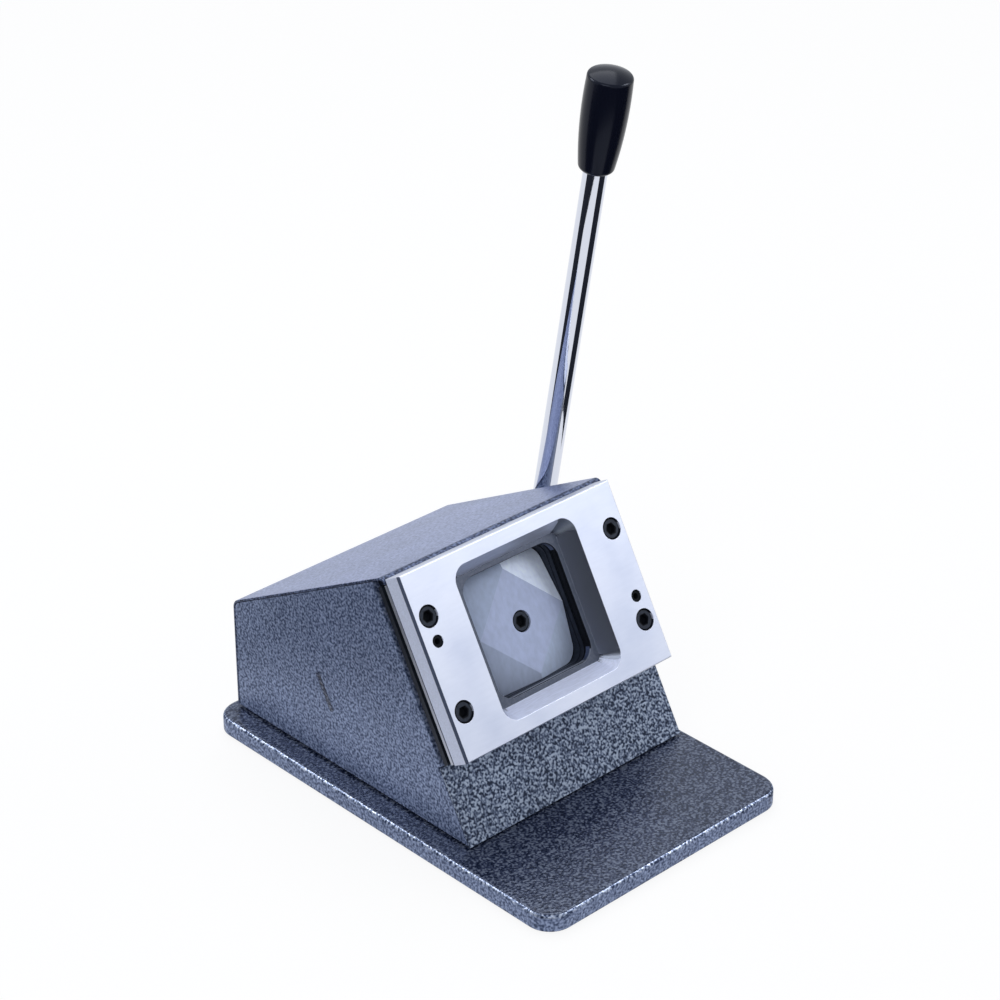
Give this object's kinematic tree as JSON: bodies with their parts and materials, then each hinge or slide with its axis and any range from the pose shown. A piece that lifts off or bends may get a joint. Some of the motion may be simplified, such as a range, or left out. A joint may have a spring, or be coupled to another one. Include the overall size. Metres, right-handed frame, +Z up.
{
  "type": "square paper punch",
  "caption": "Desk punch that cuts square pieces from prints: slanted die head with a window, cam-driven punch, side lever and a heavy base plate.",
  "frame": {"origin": "middle of the base plate's underside", "axes": "+X towards the lever side, +Y to the rear, away from the person using it, +Z up"},
  "size_m": [0.153, 0.2032, 0.283],
  "materials": {
    "hammertone": "hammertone paint, satin",
    "ground_steel": "surface ground, bright",
    "blackened_steel": "blackened, satin",
    "machine_steel": "machined",
    "chrome": "polished",
    "bronze": "turned",
    "rubber": "moulded",
    "black_plastic": "moulded, glossy"
  },
  "bodies": {
    "frame": {"base_plate": "hammertone", "rubber_feet": "rubber", "base_screws": "blackened_steel", "mounting_blocks": "machine_steel", "side_panel_left": "hammertone", "side_panel_right": "hammertone", "front_panel": "hammertone", "case_cover": "hammertone", "rear_tie_bar": "machine_steel", "cover_screws": "blackened_steel", "bulkhead": "hammertone", "front_plate": "ground_steel", "die_plate": "ground_steel", "slot_strips": "blackened_steel", "stripper_plate": "blackened_steel", "guide_block": "blackened_steel", "head_screws": "blackened_steel", "dowel_pins": "blackened_steel", "guide_posts": "machine_steel", "return_springs": "machine_steel", "stop_sleeves": "machine_steel", "bearing_blocks": "machine_steel", "bearing_bushes": "bronze", "bearing_screws": "blackened_steel", "thrust_washer": "bronze"},
    "lever": {"lever_shaft": "machine_steel", "cam": "machine_steel", "cam_pin": "machine_steel", "shaft_collars": "machine_steel", "collar_screws": "blackened_steel", "lever_hub": "machine_steel", "hub_key": "machine_steel", "hub_set_screw": "blackened_steel", "end_washer": "machine_steel", "end_screw": "blackened_steel", "lever_rod": "chrome", "lever_knob": "black_plastic"},
    "ram": {"punch": "ground_steel", "punch_screw": "blackened_steel", "crosshead": "machine_steel", "post_bushes": "bronze", "clevis": "machine_steel", "clevis_screws": "blackened_steel", "roller_pin": "machine_steel"},
    "roller": {"roller": "machine_steel"}
  },
  "joints": [
    {"name": "lever_swing", "type": "hinge", "parent": "frame", "child": "lever", "pos_m": [0.07315, 0.0536, 0.03492], "axis": [1, 0, 0], "range_deg": [0, 60], "stiffness_Nm_per_rad": 0.2, "springref_deg": -143.24},
    {"name": "ram_slide", "type": "slide", "parent": "frame", "child": "ram", "axis": [0, -0.866, 0.5], "range_m": [0, 0.0094], "deforming": ["return_springs"]},
    {"name": "roller_spin", "type": "hinge", "parent": "ram", "child": "roller", "pos_m": [0.00147, 0.03948, 0.04307], "axis": [1, 0, 0], "range_deg": [-150, 0]}
  ],
  "couplings": [
    {"joint": "ram_slide", "follows": "lever_swing", "m_per_rad": 0.0089764},
    {"joint": "roller_spin", "follows": "lever_swing", "ratio": -2.49}
  ]
}
